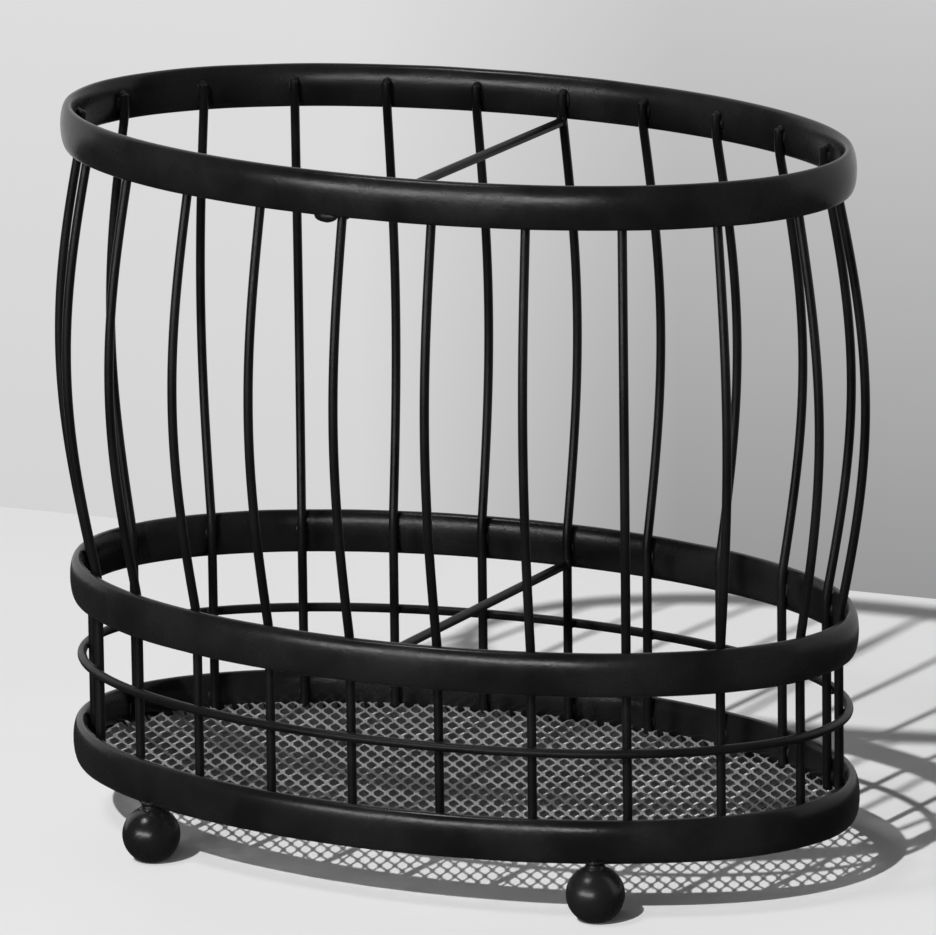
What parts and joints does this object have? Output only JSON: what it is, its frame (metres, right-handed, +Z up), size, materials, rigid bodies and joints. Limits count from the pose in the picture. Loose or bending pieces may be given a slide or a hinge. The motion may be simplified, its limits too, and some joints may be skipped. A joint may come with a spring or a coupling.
{
  "type": "oval wire basket",
  "caption": "Oval black wire basket, open at the top, with flat bands, bowed uprights, a guard hoop, a divider, a mesh floor and ball feet.",
  "frame": {"origin": "on the ground under the middle of the oval", "axes": "+X along the length of the oval, +Y across it towards the back, +Z up through the open top"},
  "size_m": [0.2466, 0.1512, 0.2125],
  "materials": {
    "black_paint": "satin black paint",
    "mesh_paint": "dark grey satin paint on expanded metal"
  },
  "bodies": {
    "root": {"top_band": "black_paint", "middle_band": "black_paint", "bottom_band": "black_paint", "guard_hoop": "black_paint", "upright_01": "black_paint", "upright_02": "black_paint", "upright_03": "black_paint", "upright_04": "black_paint", "upright_05": "black_paint", "upright_06": "black_paint", "upright_07": "black_paint", "upright_08": "black_paint", "upright_09": "black_paint", "upright_10": "black_paint", "upright_11": "black_paint", "upright_12": "black_paint", "upright_13": "black_paint", "upright_14": "black_paint", "upright_15": "black_paint", "upright_16": "black_paint", "upright_17": "black_paint", "upright_18": "black_paint", "upright_19": "black_paint", "upright_20": "black_paint", "upright_21": "black_paint", "upright_22": "black_paint", "upper_divider_rod": "black_paint", "lower_divider_rod": "black_paint", "mesh_floor": "mesh_paint", "front_left_foot": "black_paint", "front_right_foot": "black_paint", "back_left_foot": "black_paint", "back_right_foot": "black_paint"}
  },
  "joints": []
}
